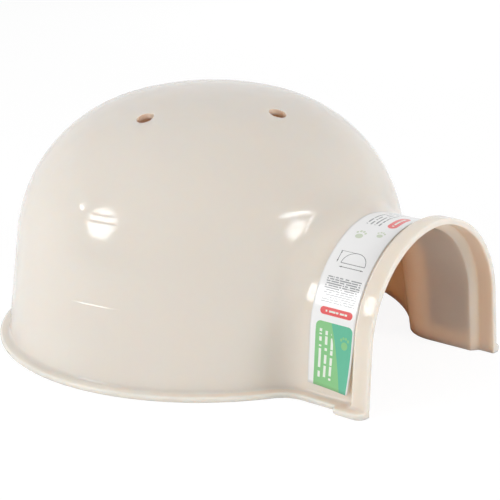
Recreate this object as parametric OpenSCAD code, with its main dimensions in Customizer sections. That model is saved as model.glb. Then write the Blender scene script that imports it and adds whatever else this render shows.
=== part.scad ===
// Small-pet igloo: a domed house with an arched tunnel, moulded in one shot, and
// the paper strip that is stuck over the tunnel. Millimetres, Z up, floor at z = 0.
// The tunnel points towards -Y. The origin is under the middle of the whole outline.

/* [Dome] */
// Outer radius of the dome's wall at the floor
dome_r = 136.5; // [128:0.5:145]
// Height of the dome's top above the floor
dome_h = 163; // [156:1:176]
// Draft of the upright skirt, in degrees, which lets the moulding leave its tool
dome_draft = 7.2; // [5:0.1:8.5]
// Outer radius of the rounded shoulder between the skirt and the crown
shoulder_r = 101; // [88:1:104]
// Outer radius of the flatter crown
crown_r = 198; // [180:1:240]
// Thickness of the moulded wall, apart from the band
wall = 3.5; // [2.6:0.1:4]

/* [Tunnel] */
// From the dome's axis to the front of the mouth
mouth_reach = 181.5; // [176:0.5:200]
// Inner radius of the arch at the mouth
arch_r = 63.6; // [56:0.1:70]
// Height of the arch's centre above the floor
arch_z = 37.2; // [28:0.1:44]
// Draft of the tunnel's legs, in degrees
leg_draft = 4.2; // [3:0.1:6]
// Radius of the ball that is rolled along the corner between dome and tunnel
blend_r = 25; // [15:1:30]

/* [Mouth band] */
// How far the band's inside stands back from the tunnel's inside
band_step = 4.6; // [3:0.1:5.5]
// Thickness of the band's wall, which is a little stronger than the rest
band_wall = 4.1; // [3.5:0.1:5]
// Length of the band, up to the start of its step
band_len = 10.2; // [7:0.1:13]
// Length of the rounded step from the band down to the tunnel
step_len = 5.2; // [4.5:0.1:9]
// Rounding of the mouth's front edge, inside and outside
edge_r = 0.9; // [0.5:0.1:1.3]

/* [Base flange] */
// How far the flange stands out from the wall at the floor
flange_out = 6; // [4:0.5:8]
// Thickness of the flange at its edge
flange_t = 3.7; // [3.3:0.1:5]
// Rise of the flange's top from its edge to the fillet
flange_rise = 0.4; // [0.2:0.1:1]
// Hollow fillet from the flange up to the wall
flange_fillet = 2.5; // [1.5:0.1:3.5]
// Rounding of the flange's outer edge
flange_edge_r = 1.6; // [1:0.1:1.6]
// Rounding of the flange's corner beside the mouth, seen from above
flange_corner_r = 6; // [2:0.5:6]
// How far the flange's outline steps out behind the band's own step
flange_slip = 9; // [2:0.5:11]

/* [Vents] */
// Number of air holes round the crown
vent_count = 4; // [3:1:6]
// Diameter of an air hole
vent_d = 11.2; // [8:0.1:14]
// Radius of the ring that the air holes stand on
vent_ring_r = 59; // [45:1:70]

/* [Label] */
// Width of the paper strip, along the tunnel
label_w = 33; // [25:0.5:36]
// Thickness of the paper strip
label_t = 0.25; // [0.2:0.05:0.4]
// Room between the strip and the wall, taken up by its glue
label_gap = 0.3; // [0.25:0.05:0.5]
// Room between the strip's front edge and the foot of the band's step
label_margin = 0.4; // [0.2:0.1:2]
// How much farther from the mouth the strip lies at the tunnel's crown than on the legs
label_bow = 3; // [0:0.5:4]
// Height of the strip's two ends above the floor
label_end_z = 10.5; // [9:0.5:20]
// How far the strip's loose corner has come off the wall
label_lift = 4.5; // [0:0.5:5]
// Height at which the strip starts to come off
label_lift_z = 44; // [35:1:60]

/* [Hidden] */

// Centre of the whole outline lies half way between the mouth and the dome's back
axis_y = (mouth_reach - dome_r - flange_out) / 2;
mouth_y = axis_y - mouth_reach;

// Counts of the shell's mesh
dome_cols = 21;
blend_cols = 6;
run_cols = 3;
step_cols = 5;
edge_steps = 3;
wall_rows = 18;
cap_rows = 8;
// Counts of the label's mesh
label_rows = 13;
label_cols = 6;

// Dome: a straight skirt, a shoulder arc and a crown arc, each tangent to the next.
// The shoulder's centre keeps its radius from the skirt's line, and the difference of
// the two radii from the crown's centre, which gives a square equation for its height.
crown_z = dome_h - crown_r;
arc_gap = crown_r - shoulder_r;
skirt_gap = dome_r * cos(dome_draft) - shoulder_r;
square_term = 1 / pow(cos(dome_draft), 2);
line_term = 2 * (skirt_gap * sin(dome_draft) * square_term + crown_z);
plain_term = skirt_gap * skirt_gap * square_term + crown_z * crown_z - arc_gap * arc_gap;
shoulder_z = (line_term + sqrt(line_term * line_term - 4 * square_term * plain_term)) / (2 * square_term);
shoulder_x = (skirt_gap - shoulder_z * sin(dome_draft)) / cos(dome_draft);
// Tilt of the wall's normal where the shoulder turns into the crown
join_tilt = atan2(shoulder_z - crown_z, shoulder_x);

// Tilt of the normal at height z, on the dome's outside moved outwards by o
function dome_tilt(z, o) =
    z <= shoulder_z + (shoulder_r + o) * sin(dome_draft) ? dome_draft
    : z <= crown_z + (crown_r + o) * sin(join_tilt) ? asin((z - shoulder_z) / (shoulder_r + o))
    : asin(min(1, (z - crown_z) / (crown_r + o)));
// Radius at height z, on the dome's outside moved outwards by o
function dome_radius(z, o) =
    let (tilt = dome_tilt(z, o))
    tilt == dome_draft ? (dome_r * cos(dome_draft) + o - z * sin(dome_draft)) / cos(dome_draft)
    : tilt <= join_tilt ? shoulder_x + (shoulder_r + o) * cos(tilt)
    : (crown_r + o) * cos(tilt);
// Radius and height at a given tilt of the normal, for the cap
function dome_at(tilt, o) =
    tilt <= join_tilt
    ? [shoulder_x + (shoulder_r + o) * cos(tilt), shoulder_z + (shoulder_r + o) * sin(tilt)]
    : [(crown_r + o) * cos(tilt), crown_z + (crown_r + o) * sin(tilt)];

// Tunnel: two drafted legs, tangent to one arc over the top.
tunnel_r = arch_r - band_step + wall;
guide_r = tunnel_r + blend_r;
deg = 180 / PI;
guide_x = guide_r * cos(leg_draft);
guide_z = arch_z + guide_r * sin(leg_draft);
// The guide is the section that the rolling ball's centre keeps to. Its place s is
// the length from the top of the leg: below 0 on the leg, and guide_end at the crown.
guide_end = guide_r * (90 - leg_draft) / deg;
function guide_tilt(s) = s <= 0 ? leg_draft : leg_draft + s / guide_r * deg;
function guide_xz(s) =
    s <= 0 ? [guide_x - s * sin(leg_draft), guide_z + s * cos(leg_draft)]
    : [guide_r * cos(guide_tilt(s)), arch_z + guide_r * sin(guide_tilt(s))];

// Corner: a ball is rolled along it, touching dome and tunnel. This is the ball's
// centre, measured from the dome's axis.
function ball(s) =
    let (g = guide_xz(s), r = dome_radius(g[1], blend_r))
    [g[0], -sqrt(max(0, r * r - g[0] * g[0])), g[1]];
// Normals of dome and tunnel where the ball touches them
function dome_normal(c) =
    let (tilt = dome_tilt(c[2], blend_r), r = norm([c[0], c[1]]))
    [cos(tilt) * c[0] / r, cos(tilt) * c[1] / r, sin(tilt)];
function tunnel_normal(s) = [cos(guide_tilt(s)), 0, sin(guide_tilt(s))];
// Normal between the two, turned evenly: t is 0 on the dome and 1 on the tunnel
function turned(a, b, t) =
    let (w = acos(min(1, a * b))) (sin((1 - t) * w) * a + sin(t * w) * b) / sin(w);
function blend_normal(s, t) = turned(dome_normal(ball(s)), tunnel_normal(s), t);

// Step and band: inside and outside step at the same place. The outside steps a
// little farther, as the band's wall is thicker.
step_end = band_len + step_len;
outer_step = band_step + band_wall - wall;
function smooth(u) = u * u * (3 - 2 * u);
// Face at u along the step, as distance from the mouth and outward shift: side is 1
// outside and -1 inside
function step_face(u, side) =
    [step_end - u * step_len, side < 0 ? band_step * smooth(u) - wall : outer_step * smooth(u)];
// Rounded front edge, from the outside (i = 0) round to the inside
function edge_face(i) =
    let (inside = i > edge_steps, a = (inside ? i - 1 : i) * 90 / edge_steps)
    [edge_r - edge_r * sin(a),
        (inside ? band_step - wall + edge_r : outer_step - edge_r) + edge_r * cos(a)];

// Columns of the shell run from the outside at the back out to the mouth, and back
// along the inside. Each is [kind, place along its stretch, outward shift].
outer_cols = concat(
    [for (k = [0:dome_cols - 1]) ["dome", k / dome_cols, 0]],
    [for (k = [0:blend_cols - 1]) ["blend", k / blend_cols, 0]],
    [for (k = [0:run_cols - 1]) ["run", k / run_cols, 0]],
    [for (k = [0:step_cols]) let (p = step_face(k / step_cols, 1)) ["fix", p[0], p[1]]]);
edge_cols = [for (i = [0:2 * edge_steps + 1]) let (p = edge_face(i)) ["fix", p[0], p[1]]];
inner_cols = concat(
    [for (k = [step_cols:-1:0]) let (p = step_face(k / step_cols, -1)) ["fix", p[0], p[1]]],
    [for (k = [run_cols - 1:-1:0]) ["run", k / run_cols, -wall]],
    [for (k = [blend_cols - 1:-1:0]) ["blend", k / blend_cols, -wall]],
    [for (k = [dome_cols - 1:-1:0]) ["dome", k / dome_cols, -wall]]);
cols = concat(outer_cols, edge_cols, inner_cols);
first_edge = len(outer_cols);
last_edge = first_edge + len(edge_cols) - 1;
last_col = len(cols) - 1;

// Point on the dome, at share u of the way round from the back to the ball at c, where
// a ball as high as h would touch
function dome_point(u, o, c, h) =
    let (turn = 90 + u * (atan2(c[1], c[0]) - 90),
        z = h - (blend_r - o) * sin(dome_tilt(h, blend_r)), r = dome_radius(z, o))
    [r * cos(turn), axis_y + r * sin(turn), z];
// Point of a column at guide place s
function col_point(col, s) =
    let (kind = col[0], u = col[1], o = col[2], c = ball(s), depth = blend_r - o)
    kind == "dome" ? dome_point(u, o, c, c[2])
    : kind == "blend" ? c - depth * blend_normal(s, u) + [0, axis_y, 0]
    : let (p = c - depth * tunnel_normal(s), back = p[1] + axis_y,
        y = kind == "fix" ? mouth_y + u : back + u * (mouth_y + step_end - back))
        [p[0], y, p[2]];
// Guide place at which a column reaches height z near the floor
function drop(col, z, s) =
    let (t = col[0] == "dome" ? 0 : col[0] == "blend" ? col[1] : 1)
    (z + (blend_r - col[2]) * blend_normal(s, t)[2] - guide_z) / cos(leg_draft);
function floor_place(col, z) =
    drop(col, z, drop(col, z, drop(col, z, (z - guide_z) / cos(leg_draft))));
function at_height(col, z) =
    let (p = col_point(col, floor_place(col, z))) [p[0], p[1], z];

// Flange: its section from the floor up, as [share of the way out, height].
flange_top = flange_t + flange_rise + flange_fillet;
flange_reach = flange_out + flange_top * tan(dome_draft);
flange_rows = concat(
    [for (a = [-90:30:90])
        [(flange_reach - flange_edge_r + flange_edge_r * cos(a)) / flange_reach,
         (a < 0 ? flange_edge_r : flange_t - flange_edge_r) + flange_edge_r * sin(a)]],
    [for (a = [0:30:90])
        [flange_fillet * (1 - sin(a)) / flange_reach, flange_top - flange_fillet * cos(a)]]);
flange_count = len(flange_rows) - 1;
// The flange's edge follows the wall's foot, and steps out a little behind the band
function flange_foot(c) =
    let (col = cols[c], p = at_height(col, 0), e = c - first_edge,
        slip = flange_slip, side = at_height(cols[first_edge], 0))
    col[0] == "dome" ? p + flange_out * unit([p[0], p[1] - axis_y, 0])
    : col[0] == "blend"
        ? let (n = blend_normal(floor_place(col, 0), col[1])) p + flange_out * unit([n[0], n[1], 0])
    : col[0] == "run" ? p + [flange_out, slip * col[1], 0]
    : e < 0 ? p + [flange_out, slip * min(1, col[1] / band_len), 0]
    : e <= edge_steps
        ? let (a = e * 90 / edge_steps, r = min(flange_corner_r, flange_out))
            [side[0] + flange_out - r + r * cos(a), mouth_y + r - r * sin(a), 0]
    : p;
function unit(v) = v / norm(v);

// The last row of the wall meets the tunnel's crown, and rises from there to the ring
// on which the dome's cap stands.
crown_h = ball(guide_end)[2];
ring_h = dome_at(dome_tilt(crown_h, blend_r) + 12, blend_r)[1];
function risen(u) = 1 - pow(u, 8);
function wall_point(col, s, start, share) =
    let (c = ball(s), low = ball(start)[2], level = low + (ring_h - low) * share)
    col[0] == "dome" ? dome_point(col[1], col[2], c, c[2] + risen(col[1]) * (level - c[2]))
    : col_point(col, s);

// Points of one half: rows run from the floor to the crown.
row_count = flange_count + wall_rows;
function half_col(c) =
    let (col = cols[c], flanged = c <= last_edge,
        top = at_height(col, flange_top), foot = flange_foot(c),
        start = floor_place(col, flange_top))
    concat(
        [for (j = [0:flange_count - 1])
            flanged
            ? let (f = flange_rows[j], p = top + f[0] * (foot - top)) [p[0], p[1], f[1]]
            : at_height(col, flange_top * j / flange_count)],
        [top],
        [for (j = [1:wall_rows]) let (share = j / wall_rows,
            p = wall_point(col, start + (guide_end - start) * share, start, share))
            j == wall_rows && col[0] != "dome" ? [0, p[1], p[2]] : p]);
half = [for (c = [0:last_col]) each [for (p = half_col(c)) c == 0 || c == last_col ? [0, p[1], p[2]] : p]];
half_size = (last_col + 1) * (row_count + 1);

// Cap of the dome, as rings round both halves.
ring = 2 * dome_cols;
function cap_ring(m, o) =
    [for (k = [0:ring - 1])
        let (a = 90 - 180 * k / dome_cols, u = min(k, ring - k) / dome_cols,
            low = dome_tilt(crown_h + risen(u) * (ring_h - crown_h), blend_r),
            p = dome_at(low + (90 - low) * m / cap_rows, o))
        [p[0] * cos(a), axis_y + p[0] * sin(a), p[1]]];
cap = [for (o = [0, -wall]) each concat([for (m = [1:cap_rows - 1]) each cap_ring(m, o)],
    [[0, axis_y, dome_h + o]])];
cap_size = (cap_rows - 1) * ring + 1;

// Index of a point: side 0 is +X and side 1 is -X; points on the middle plane are shared
function on_middle(c, j) =
    c == 0 || c == last_col || (j == row_count && c >= dome_cols && c <= last_col - dome_cols);
function at(side, c, j) =
    c * (row_count + 1) + j + (side == 1 && !on_middle(c, j) ? half_size : 0);
// Point k of the ring that closes the walls, and of the cap's rings above it
function wall_ring(skin, k) =
    let (side = k <= dome_cols ? 0 : 1, c = k <= dome_cols ? k : ring - k)
    at(side, skin == 0 ? c : last_col - c, row_count);
function cap_at(skin, m, k) =
    m == 0 ? wall_ring(skin, k % ring)
    : 2 * half_size + skin * cap_size + (m == cap_rows ? cap_size - 1 : (m - 1) * ring + k % ring);

points = concat(half, [for (p = half) [-p[0], p[1], p[2]]], cap);
// Two triangles over a patch of points, cut along its shorter diagonal. They are
// turned over where the patch is seen from its other side, as on the mirrored half.
function quad(pts, a, b, c, d, turn) =
    let (faces = norm(pts[a] - pts[c]) <= norm(pts[b] - pts[d])
        ? [[a, b, c], [a, c, d]] : [[a, b, d], [b, c, d]])
    turn ? [for (f = faces) [f[0], f[2], f[1]]] : faces;
wall_faces = [for (side = [0, 1], c = [0:last_col - 1], j = [0:row_count - 1])
    each quad(points, at(side, c, j), at(side, c + 1, j),
        at(side, c + 1, j + 1), at(side, c, j + 1), side == 1)];
cap_faces = [for (skin = [0, 1], m = [0:cap_rows - 1], k = [0:ring - 1])
    let (a = cap_at(skin, m, k), b = cap_at(skin, m, k + 1), turn = skin == 1)
    each m == cap_rows - 1 ? [turn ? [b, a, cap_at(skin, cap_rows, 0)] : [a, b, cap_at(skin, cap_rows, 0)]]
    : quad(points, a, b, cap_at(skin, m + 1, k + 1), cap_at(skin, m + 1, k), turn)];
// Underside, as patches from each outside column to its partner on the inside
floor_faces = [for (side = [0, 1], c = [0:(last_col - 1) / 2 - 1])
    each quad(points, at(side, c + 1, 0), at(side, c, 0),
        at(side, last_col - c, 0), at(side, last_col - c - 1, 0), side == 1)];

module moulding() {
    polyhedron(points, concat(wall_faces, cap_faces, floor_faces), convexity = 8);
}

// The one-piece moulding, with its air holes sunk along the tool's direction of draw
module shell() {
    color([0.89, 0.86, 0.82])
    difference() {
        moulding();
        for (i = [0:vent_count - 1])
            translate([0, axis_y, 0]) rotate(-90 + 360 * i / vent_count)
                translate([vent_ring_r, 0, dome_h - 3 * vent_d])
                    cylinder(d = vent_d, h = 4 * vent_d, $fn = 32);
    }
}

// Label: a strip that follows the tunnel's outside from foot to foot.
label_front = step_end + label_margin;
// Point of the strip at guide place s, q from the mouth, raised by o
function strip_point(s, q, o) =
    let (c = ball(s), touch = -mouth_reach + q, over = touch - c[1],
        w = acos(min(1, dome_normal(c) * tunnel_normal(s))),
        t = 1 - over * deg / blend_r / w)
    over <= 0 ? [c[0], touch + axis_y, c[2]] - (blend_r - o) * tunnel_normal(s)
    : c - (blend_r - o) * blend_normal(s, t) + [0, axis_y, 0];
label_foot = floor_place(["run", 0, 0], label_end_z);
// Lift of the loose corner, on the -X side only, nearest the floor and the mouth
function lift(side, z, u) =
    side == 0 || z >= label_lift_z ? 0
    : label_lift * pow((label_lift_z - z) / (label_lift_z - label_end_z), 1.5) * pow(1 - u, 1.5);
strip_rows = 2 * label_rows;
strip = [for (layer = [0, 1], i = [0:strip_rows], j = [0:label_cols])
    let (side = i <= label_rows ? 0 : 1, k = side == 0 ? i : strip_rows - i, u = j / label_cols,
        s = label_foot + (guide_end - label_foot) * k / label_rows,
        o = label_gap + layer * label_t, base = strip_point(s, label_front, 0),
        front = label_front + label_bow * pow(max(0, s) / guide_end, 2),
        p = strip_point(s, front + u * label_w, o + lift(side, max(base[2], label_end_z), u)))
    [(k == label_rows ? 0 : side == 0 ? 1 : -1) * p[0], p[1], p[2]]];
function strip_at(layer, i, j) = (layer * (strip_rows + 1) + i) * (label_cols + 1) + j;
strip_faces = concat(
    [for (i = [0:strip_rows - 1], j = [0:label_cols - 1])
        each quad(strip, strip_at(1, i, j), strip_at(1, i, j + 1),
            strip_at(1, i + 1, j + 1), strip_at(1, i + 1, j), true)],
    [for (i = [0:strip_rows - 1], j = [0:label_cols - 1])
        each quad(strip, strip_at(0, i, j), strip_at(0, i, j + 1),
            strip_at(0, i + 1, j + 1), strip_at(0, i + 1, j), false)],
    [for (i = [0:strip_rows - 1], j = [0, label_cols])
        each quad(strip, strip_at(0, i, j), strip_at(0, i + 1, j),
            strip_at(1, i + 1, j), strip_at(1, i, j), j > 0)],
    [for (i = [0, strip_rows], j = [0:label_cols - 1])
        each quad(strip, strip_at(0, i, j), strip_at(0, i, j + 1),
            strip_at(1, i, j + 1), strip_at(1, i, j), i == 0)]);

module label() {
    color([0.93, 0.93, 0.92]) polyhedron(strip, strip_faces, convexity = 4);
}

shell();
label();
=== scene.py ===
# %% [markdown]
# # Pet igloo: a moulded house with a paper strip
# The real object is one plastic moulding, a dome with a tunnel, and a printed paper
# strip that is stuck over the tunnel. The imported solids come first, as a fixed frame.
# Each piece made here takes the place of one of them, in the same metres and axes.

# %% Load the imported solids
import math

import bpy
from mathutils import Matrix, Vector


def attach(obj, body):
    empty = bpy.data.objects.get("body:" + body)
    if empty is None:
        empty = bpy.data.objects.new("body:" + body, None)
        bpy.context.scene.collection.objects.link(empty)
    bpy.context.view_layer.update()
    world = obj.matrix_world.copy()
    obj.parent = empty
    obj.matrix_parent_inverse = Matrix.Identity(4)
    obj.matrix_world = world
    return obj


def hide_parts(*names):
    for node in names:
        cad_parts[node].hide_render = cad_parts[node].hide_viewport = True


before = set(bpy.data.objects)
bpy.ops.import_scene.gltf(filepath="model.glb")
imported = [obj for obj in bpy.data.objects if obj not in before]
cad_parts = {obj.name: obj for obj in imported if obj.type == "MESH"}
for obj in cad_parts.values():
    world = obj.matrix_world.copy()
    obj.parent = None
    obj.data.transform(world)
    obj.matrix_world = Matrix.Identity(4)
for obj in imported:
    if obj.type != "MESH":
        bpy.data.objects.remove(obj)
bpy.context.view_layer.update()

scene = bpy.context.scene

# %% [markdown]
# ## Sums that write themselves into a node tree
# The moulding's shape follows a rule: a ball is rolled along the corner between dome
# and tunnel. Such a rule is easier to read as sums than as a drawing of nodes. So a
# Term stands for one number in a node tree, and each sign or function on it adds one
# Math node. The same helper serves the shape's tree and the materials' trees.

# %% A number in a node tree
PLAIN = {"ADD": lambda a, b: a + b, "SUBTRACT": lambda a, b: a - b,
         "MULTIPLY": lambda a, b: a * b, "DIVIDE": lambda a, b: a / b,
         "SINE": math.sin, "COSINE": math.cos, "MINIMUM": min, "MAXIMUM": max,
         "POWER": lambda a, b: a ** b}


class Term:
    def __init__(self, tree, socket):
        self.tree, self.socket = tree, socket

    def __add__(self, other): return maths("ADD", self, other)
    def __radd__(self, other): return maths("ADD", other, self)
    def __sub__(self, other): return maths("SUBTRACT", self, other)
    def __rsub__(self, other): return maths("SUBTRACT", other, self)
    def __mul__(self, other): return maths("MULTIPLY", self, other)
    def __rmul__(self, other): return maths("MULTIPLY", other, self)
    def __truediv__(self, other): return maths("DIVIDE", self, other)
    def __rtruediv__(self, other): return maths("DIVIDE", other, self)
    def __neg__(self): return maths("MULTIPLY", self, -1.0)
    def __lt__(self, other): return maths("LESS_THAN", self, other)
    def __gt__(self, other): return maths("GREATER_THAN", self, other)


def maths(operation, *values):
    terms = [v for v in values if isinstance(v, Term)]
    if not terms:
        return PLAIN[operation](*values)
    tree = terms[0].tree
    node = tree.nodes.new("ShaderNodeMath")
    node.operation = operation
    for socket, value in zip(node.inputs, values):
        if isinstance(value, Term):
            tree.links.new(value.socket, socket)
        else:
            socket.default_value = value
    return Term(tree, node.outputs[0])


def sine(a): return maths("SINE", a)
def cosine(a): return maths("COSINE", a)
def root(a): return maths("SQRT", maths("MAXIMUM", a, 0.0))
def least(a, b): return maths("MINIMUM", a, b)
def most(a, b): return maths("MAXIMUM", a, b)
def clamped(a): return least(most(a, 0.0), 1.0)
def pick(test, yes, no): return no + test * (yes - no)
def pick3(test, yes, no): return [pick(test, y, n) for y, n in zip(yes, no)]
def smooth(a): return a * a * (3.0 - 2.0 * a)


print("helpers ready")

# %% [markdown]
# ## One group for each sum that comes back
# The ball's place and the two normals are needed again and again, with other numbers
# each time. Such a sum becomes a node group of its own, built at its first call. The
# group asks for just those sizes that its sums touch, and each use is one node.

# %% Shared sums as node groups
def shared(sums):
    def call(rule, *values):
        name = sums.__name__
        if name not in rule.groups:
            rule.groups[name] = group_of(rule, sums, len(values))
        group, wanted, single = rule.groups[name]
        node = rule.tree.nodes.new("GeometryNodeGroup")
        node.node_tree = group
        for i, value in enumerate([*values, *[getattr(rule, w) for w in wanted]]):
            if isinstance(value, Term):
                rule.tree.links.new(value.socket, node.inputs[i])
            else:
                node.inputs[i].default_value = value
        results = [Term(rule.tree, socket) for socket in node.outputs]
        return results[0] if single else results
    return call


def group_of(rule, sums, count):
    group = bpy.data.node_groups.new(sums.__name__.replace("_", " "), "GeometryNodeTree")
    for i in range(count):
        group.interface.new_socket(f"value {i + 1}", in_out="INPUT", socket_type="NodeSocketFloat")
    entry = group.nodes.new("NodeGroupInput")
    inside = Rule.__new__(Rule)
    inside.tree, inside.entry, inside.wanted, inside.groups = group, entry, [], rule.groups
    results = sums(inside, *[Term(group, entry.outputs[i]) for i in range(count)])
    single = isinstance(results, Term)
    out = group.nodes.new("NodeGroupOutput")
    for i, result in enumerate([results] if single else results):
        group.interface.new_socket(f"result {i + 1}", in_out="OUTPUT",
                                   socket_type="NodeSocketFloat")
        if isinstance(result, Term):
            group.links.new(result.socket, out.inputs[i])
        else:
            out.inputs[i].default_value = result
    return group, inside.wanted, single


print("shared sums ready")

# %% [markdown]
# ## The moulding's sizes
# They are the named values of the solids' source, in millimetres and degrees, so the
# fine mesh here lies on the solid's own surface. Each becomes a named input of the
# Geometry Nodes tree. The counts say how fine the mesh is. The cap ring is where the
# dome's rows end and its cap begins, a few degrees above the tunnel's crown.

# %% Sizes and counts
SIZES = {
    "Dome radius": 136.5, "Dome height": 163.0, "Dome draft": 7.2,
    "Shoulder radius": 101.0, "Crown radius": 198.0, "Wall": 3.5,
    "Mouth reach": 181.5, "Arch radius": 63.6, "Arch height": 37.2,
    "Leg draft": 4.2, "Blend radius": 25.0,
    "Band step": 4.6, "Band wall": 4.1, "Band length": 10.2, "Step length": 5.2,
    "Edge rounding": 0.9,
    "Flange reach": 6.0, "Flange thickness": 3.7, "Flange rise": 0.4,
    "Flange fillet": 2.5, "Flange rounding": 1.6, "Flange corner": 6.0, "Flange slip": 9.0,
    "Vent count": 4.0, "Vent diameter": 11.2, "Vent ring": 59.0,
}
MM = 0.001
axis_y = (SIZES["Mouth reach"] - SIZES["Dome radius"] - SIZES["Flange reach"]) / 2
DOME, BLEND, RUN, STEP, EDGE = 48, 16, 8, 14, 5
SIDE = DOME + BLEND + RUN + STEP + EDGE + 2
ROUND, FILLET, WALL_ROWS, CAP = 10, 5, 56, 22
CAP_RING_TILT, CAP_RING_FLATNESS = 12.0, 8.0
FLANGE = ROUND + 1 + FILLET
ROWS = FLANGE + WALL_ROWS + 1
print("columns", 2 * SIDE, "rows", ROWS, "axis at y =", axis_y)

# %% [markdown]
# ## The rule of the shape
# A section through the dome is a drafted skirt, a shoulder arc and a flatter crown
# arc, each tangent to the next. A section through the tunnel is two drafted legs and
# one arc. The ball's centre keeps its radius from both surfaces. Where it touches
# them, the dome and the tunnel end, and in between the skin is the ball's own surface,
# with the normal turned evenly from one to the other. On the inside the same centre
# and a radius larger by the wall give a wall of even thickness.

# %% The dome, the tunnel and the rolled ball as sums
class Rule:
    def __init__(self, tree, size):
        self.tree, self.groups = tree, {}
        angle = math.pi / 180
        self.draft, self.lean = size["Dome draft"] * angle, size["Leg draft"] * angle
        self.shoulder, self.crown = size["Shoulder radius"], size["Crown radius"]
        self.ball_r, self.wall = size["Blend radius"], size["Wall"]
        self.reach = size["Mouth reach"]
        self.dome_r, self.height = size["Dome radius"], size["Dome height"]
        self.arch_z, self.size = size["Arch height"], size
        self.solve_shoulder()
        self.tunnel_r = size["Arch radius"] - size["Band step"] + self.wall
        self.guide_r = self.tunnel_r + self.ball_r
        self.guide_end = self.guide_r * (math.pi / 2 - self.lean)
        self.guide_foot = self.arch_z + self.guide_r * sine(self.lean)
        self.crown_h = self.ball(self.guide_end)[2]
        ring_tilt = self.dome_tilt(self.crown_h, self.ball_r) + CAP_RING_TILT * angle
        self.ring_h = self.dome_at(ring_tilt, self.ball_r)[1]

    def __getattr__(self, name):
        """Inside a group, a size that isn't there yet becomes one of the group's inputs."""
        if name.startswith("_") or "entry" not in self.__dict__:
            raise AttributeError(name)
        self.tree.interface.new_socket(name, in_out="INPUT", socket_type="NodeSocketFloat")
        self.wanted.append(name)
        self.__dict__[name] = Term(self.tree, self.entry.outputs[name])
        return self.__dict__[name]

    def solve_shoulder(self):
        self.crown_z = self.height - self.crown
        gap = self.crown - self.shoulder
        skirt = self.dome_r * cosine(self.draft) - self.shoulder
        square = 1.0 / (cosine(self.draft) * cosine(self.draft))
        line = 2.0 * (skirt * sine(self.draft) * square + self.crown_z)
        plain = skirt * skirt * square + self.crown_z * self.crown_z - gap * gap
        self.shoulder_z = (line + root(line * line - 4.0 * square * plain)) / (2.0 * square)
        self.shoulder_x = (skirt - self.shoulder_z * sine(self.draft)) / cosine(self.draft)
        self.join = maths("ARCTAN2", self.shoulder_z - self.crown_z, self.shoulder_x)

    @shared
    def dome_tilt(self, z, out):
        on_skirt = z < self.shoulder_z + (self.shoulder + out) * sine(self.draft)
        on_shoulder = z < self.crown_z + (self.crown + out) * sine(self.join)
        shoulder = maths("ARCSINE", least((z - self.shoulder_z) / (self.shoulder + out), 1.0))
        crown = maths("ARCSINE", least((z - self.crown_z) / (self.crown + out), 1.0))
        return pick(on_skirt, self.draft, pick(on_shoulder, shoulder, crown))

    @shared
    def dome_radius(self, z, out):
        tilt = self.dome_tilt(z, out)
        skirt = (self.dome_r * cosine(self.draft) + out - z * sine(self.draft)) / cosine(self.draft)
        shoulder = self.shoulder_x + (self.shoulder + out) * cosine(tilt)
        on_skirt = z < self.shoulder_z + (self.shoulder + out) * sine(self.draft)
        on_crown = tilt > self.join
        return pick(on_skirt, skirt, pick(on_crown, (self.crown + out) * cosine(tilt), shoulder))

    @shared
    def dome_at(self, tilt, out):
        crown = ((self.crown + out) * cosine(tilt),
                 self.crown_z + (self.crown + out) * sine(tilt))
        shoulder = (self.shoulder_x + (self.shoulder + out) * cosine(tilt),
                    self.shoulder_z + (self.shoulder + out) * sine(tilt))
        return pick3(tilt > self.join, crown, shoulder)

    def guide_tilt(self, s):
        return self.lean + most(s, 0.0) / self.guide_r

    @shared
    def ball(self, s):
        tilt, below = self.guide_tilt(s), least(s, 0.0)
        x = self.guide_r * cosine(tilt) - below * sine(self.lean)
        z = self.arch_z + self.guide_r * sine(tilt) + below * cosine(self.lean)
        r = self.dome_radius(z, self.ball_r)
        return [x, -root(r * r - x * x), z]

    def dome_normal(self, c):
        tilt, r = self.dome_tilt(c[2], self.ball_r), root(c[0] * c[0] + c[1] * c[1])
        return [cosine(tilt) * c[0] / r, cosine(tilt) * c[1] / r, sine(tilt)]

    def tunnel_normal(self, s):
        tilt = self.guide_tilt(s)
        return [cosine(tilt), 0.0, sine(tilt)]

    def corner(self, c, s):
        a, b = self.dome_normal(c), self.tunnel_normal(s)
        return a, b, maths("ARCCOSINE", least(a[0] * b[0] + a[2] * b[2], 1.0))

    def blend_normal(self, c, s, turn):
        return self.turned_normal(*c, s, turn)

    @shared
    def turned_normal(self, x, y, z, s, turn):
        a, b, width = self.corner([x, y, z], s)
        near = sine((1.0 - turn) * width) / sine(width)
        far = sine(turn * width) / sine(width)
        return [near * a[0] + far * b[0], near * a[1], near * a[2] + far * b[2]]


print("rule ready")

# %% [markdown]
# ## From a flat grid to the moulding
# The tree starts from a flat grid. Its columns run from the back of the dome, round
# the outside to the mouth, over the rounded edge and back along the inside; its rows
# run from the floor up to the tunnel's crown. Column and row number are all that the
# sums need. The first row closes the underside: each point goes half way to its
# partner on the other skin, and merging the doubles zips the two together.

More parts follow.
